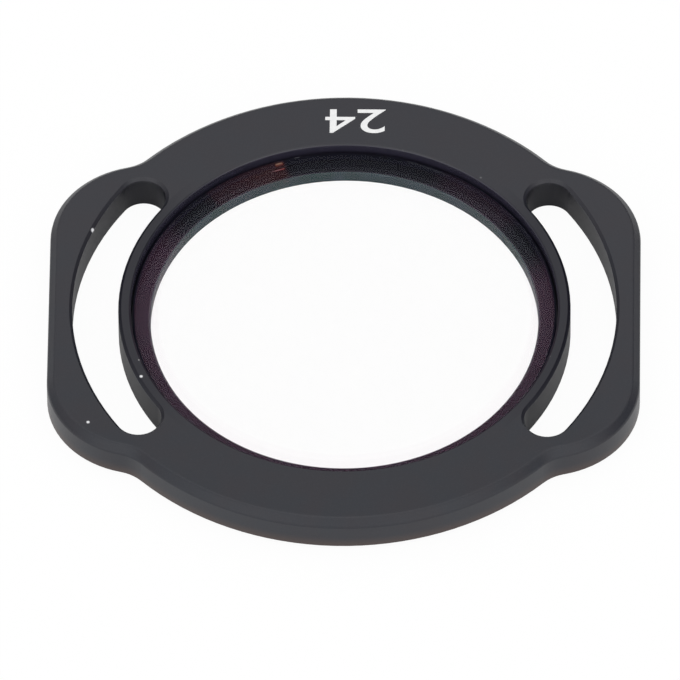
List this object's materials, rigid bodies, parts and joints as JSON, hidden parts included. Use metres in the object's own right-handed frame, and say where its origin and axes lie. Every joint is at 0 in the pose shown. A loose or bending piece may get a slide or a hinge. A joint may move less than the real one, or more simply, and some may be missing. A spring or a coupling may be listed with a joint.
{
  "type": "drone uv filter",
  "caption": "Flat UV filter for a drone camera: a coated glass disc in a thin black ring with two slotted ears.",
  "frame": {"origin": "on the optical axis, in the plane of the flat rear face", "axes": "+X across the two ears, +Y towards the side of the ring that carries the printed mark, +Z along the optical axis, out of the front face"},
  "size_m": [0.036, 0.0344, 0.0025],
  "materials": {
    "black_anodised_aluminium": "fine blasted, black anodised, matte",
    "coated_glass": "polished, coated on both faces",
    "cured_adhesive": "cured film",
    "white_ink": "printed, satin"
  },
  "bodies": {
    "root": {"filter_frame": "black_anodised_aluminium", "filter_glass": "coated_glass", "glass_bond_film": "cured_adhesive"}
  },
  "joints": []
}
